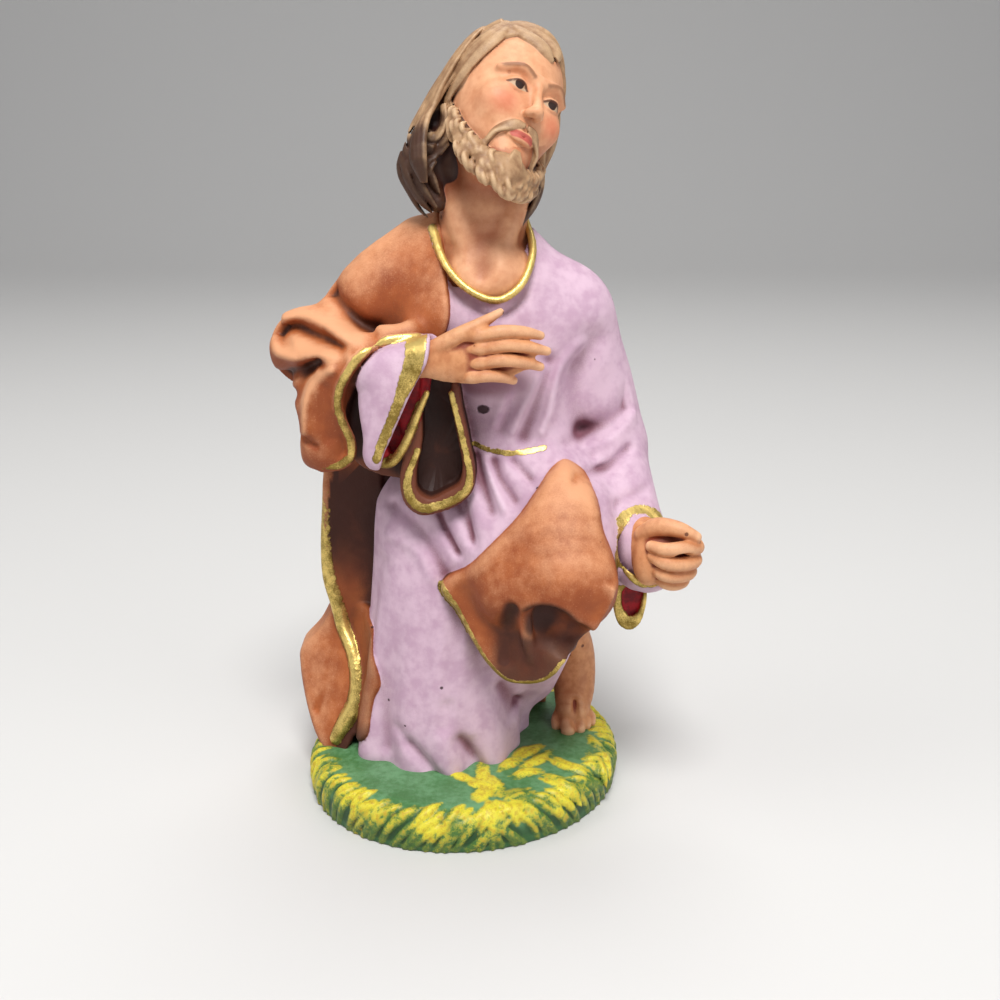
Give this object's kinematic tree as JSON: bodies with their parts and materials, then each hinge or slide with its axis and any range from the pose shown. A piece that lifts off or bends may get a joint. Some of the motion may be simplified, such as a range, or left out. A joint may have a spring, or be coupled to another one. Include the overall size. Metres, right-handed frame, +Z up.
{
  "type": "crib figure",
  "caption": "Kneeling bearded man in a lilac robe and brown cloak, one hand on the chest, the other a closed fist, cast in one with a low grassy mound.",
  "frame": {"origin": "on the flat underside of the mound, under the middle of the mound", "axes": "+Z up through the figure, +Y the way the viewer of the figure's front looks, +X to that viewer's right"},
  "size_m": [0.0659, 0.053, 0.1202],
  "materials": {
    "painted_plaster": "hand-painted matt plaster: lilac robe, brown cloak with gold edges, green mound"
  },
  "bodies": {
    "root": {"kneeling_figure": "painted_plaster"}
  },
  "joints": []
}
